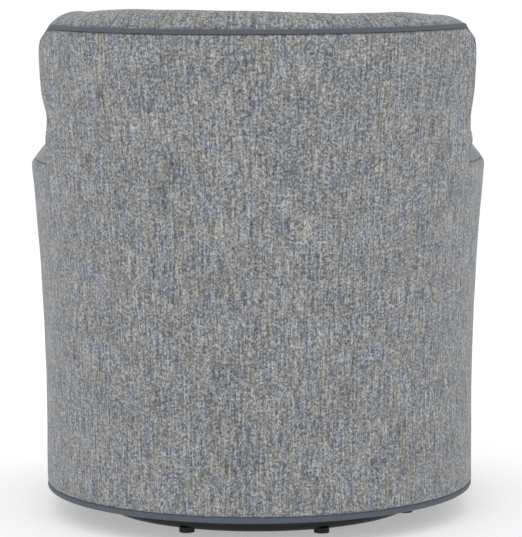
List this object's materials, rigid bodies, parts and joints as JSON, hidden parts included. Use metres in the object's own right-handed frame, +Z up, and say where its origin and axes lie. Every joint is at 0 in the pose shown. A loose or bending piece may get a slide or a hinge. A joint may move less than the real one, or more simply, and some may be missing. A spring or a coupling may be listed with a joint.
{
  "type": "swivel rocker chair",
  "caption": "Upholstered barrel chair with rounded back and rolled arms, rocking on a sprung pivot head that turns on a round floor ring.",
  "frame": {"origin": "on the floor under the swivel axis, which is the middle of the floor ring", "axes": "+Z up, -Y the way the sitter faces, +X to the right of someone who looks along +Y at the chair's front"},
  "size_m": [0.7768, 0.83, 0.8736],
  "materials": {
    "ring_steel": "satin",
    "glide_nylon": "matte",
    "head_steel": "satin",
    "zinc_steel": "satin",
    "cage_brass": "satin",
    "ball_steel": "polished",
    "bush_nylon": "matte",
    "stop_rubber": "matte",
    "spring_steel": "satin",
    "rail_wood": "matte",
    "ply_wood": "matte",
    "lining_board": "matte",
    "deck_cloth": "matte",
    "dust_cloth": "matte",
    "tweed": "matte",
    "welt_cloth": "matte"
  },
  "bodies": {
    "root": {"floor_ring": "ring_steel", "floor_glides": "glide_nylon", "base_arms": "ring_steel", "lower_bearing_plate": "head_steel", "king_pin": "zinc_steel", "ball_cage": "cage_brass", "bearing_balls": "ball_steel"},
    "swivel": {"upper_bearing_plate": "head_steel", "rocker_cradle": "head_steel", "pivot_bushes": "bush_nylon", "lower_spring_cups": "head_steel", "bump_stops": "stop_rubber", "spring_front_left": "spring_steel", "spring_front_right": "spring_steel", "spring_rear_left": "spring_steel", "spring_rear_right": "spring_steel"},
    "chair": {"pivot_shaft": "zinc_steel", "shaft_collars": "zinc_steel", "rocker_plate": "head_steel", "upper_spring_cups": "head_steel", "rocker_plate_bolts": "zinc_steel", "cross_rails": "rail_wood", "front_seat_rail": "rail_wood", "rear_seat_rail": "rail_wood", "side_seat_rails": "rail_wood", "corner_blocks": "rail_wood", "seat_frame_ring": "ply_wood", "rear_base_rail": "ply_wood", "left_base_rail": "ply_wood", "right_base_rail": "ply_wood", "front_base_rail": "ply_wood", "low_staves": "rail_wood", "high_staves": "rail_wood", "back_middle_rail": "ply_wood", "back_top_rail": "ply_wood", "left_arm_rail": "ply_wood", "right_arm_rail": "ply_wood", "front_top_rail": "rail_wood", "front_posts": "rail_wood", "seat_springs": "spring_steel", "spring_clips": "zinc_steel", "deck_pad": "deck_cloth", "dust_cover": "dust_cloth", "back_lining": "lining_board", "outside_back": "tweed", "outside_arm_left": "tweed", "outside_arm_right": "tweed", "arm_front_left": "tweed", "arm_front_right": "tweed", "front_apron": "tweed", "back_boxing": "tweed", "inside_back": "tweed", "arm_pad_left": "tweed", "arm_pad_right": "tweed", "seat_cushion": "tweed", "back_welt": "welt_cloth", "inside_back_welt": "welt_cloth", "foot_welt": "welt_cloth", "cushion_welts": "welt_cloth", "arm_front_welts": "welt_cloth"}
  },
  "joints": [
    {"name": "turn", "type": "hinge", "parent": "root", "child": "swivel", "pos_m": [0, 0, 0], "axis": [0, 0, 1], "continuous": true},
    {"name": "rock", "type": "hinge", "parent": "swivel", "child": "chair", "pos_m": [0, 0, 0.105], "axis": [1, 0, 0], "range_deg": [-5, 5], "stiffness_Nm_per_rad": 900, "deforming": ["spring_front_left", "spring_front_right", "spring_rear_left", "spring_rear_right"]}
  ]
}
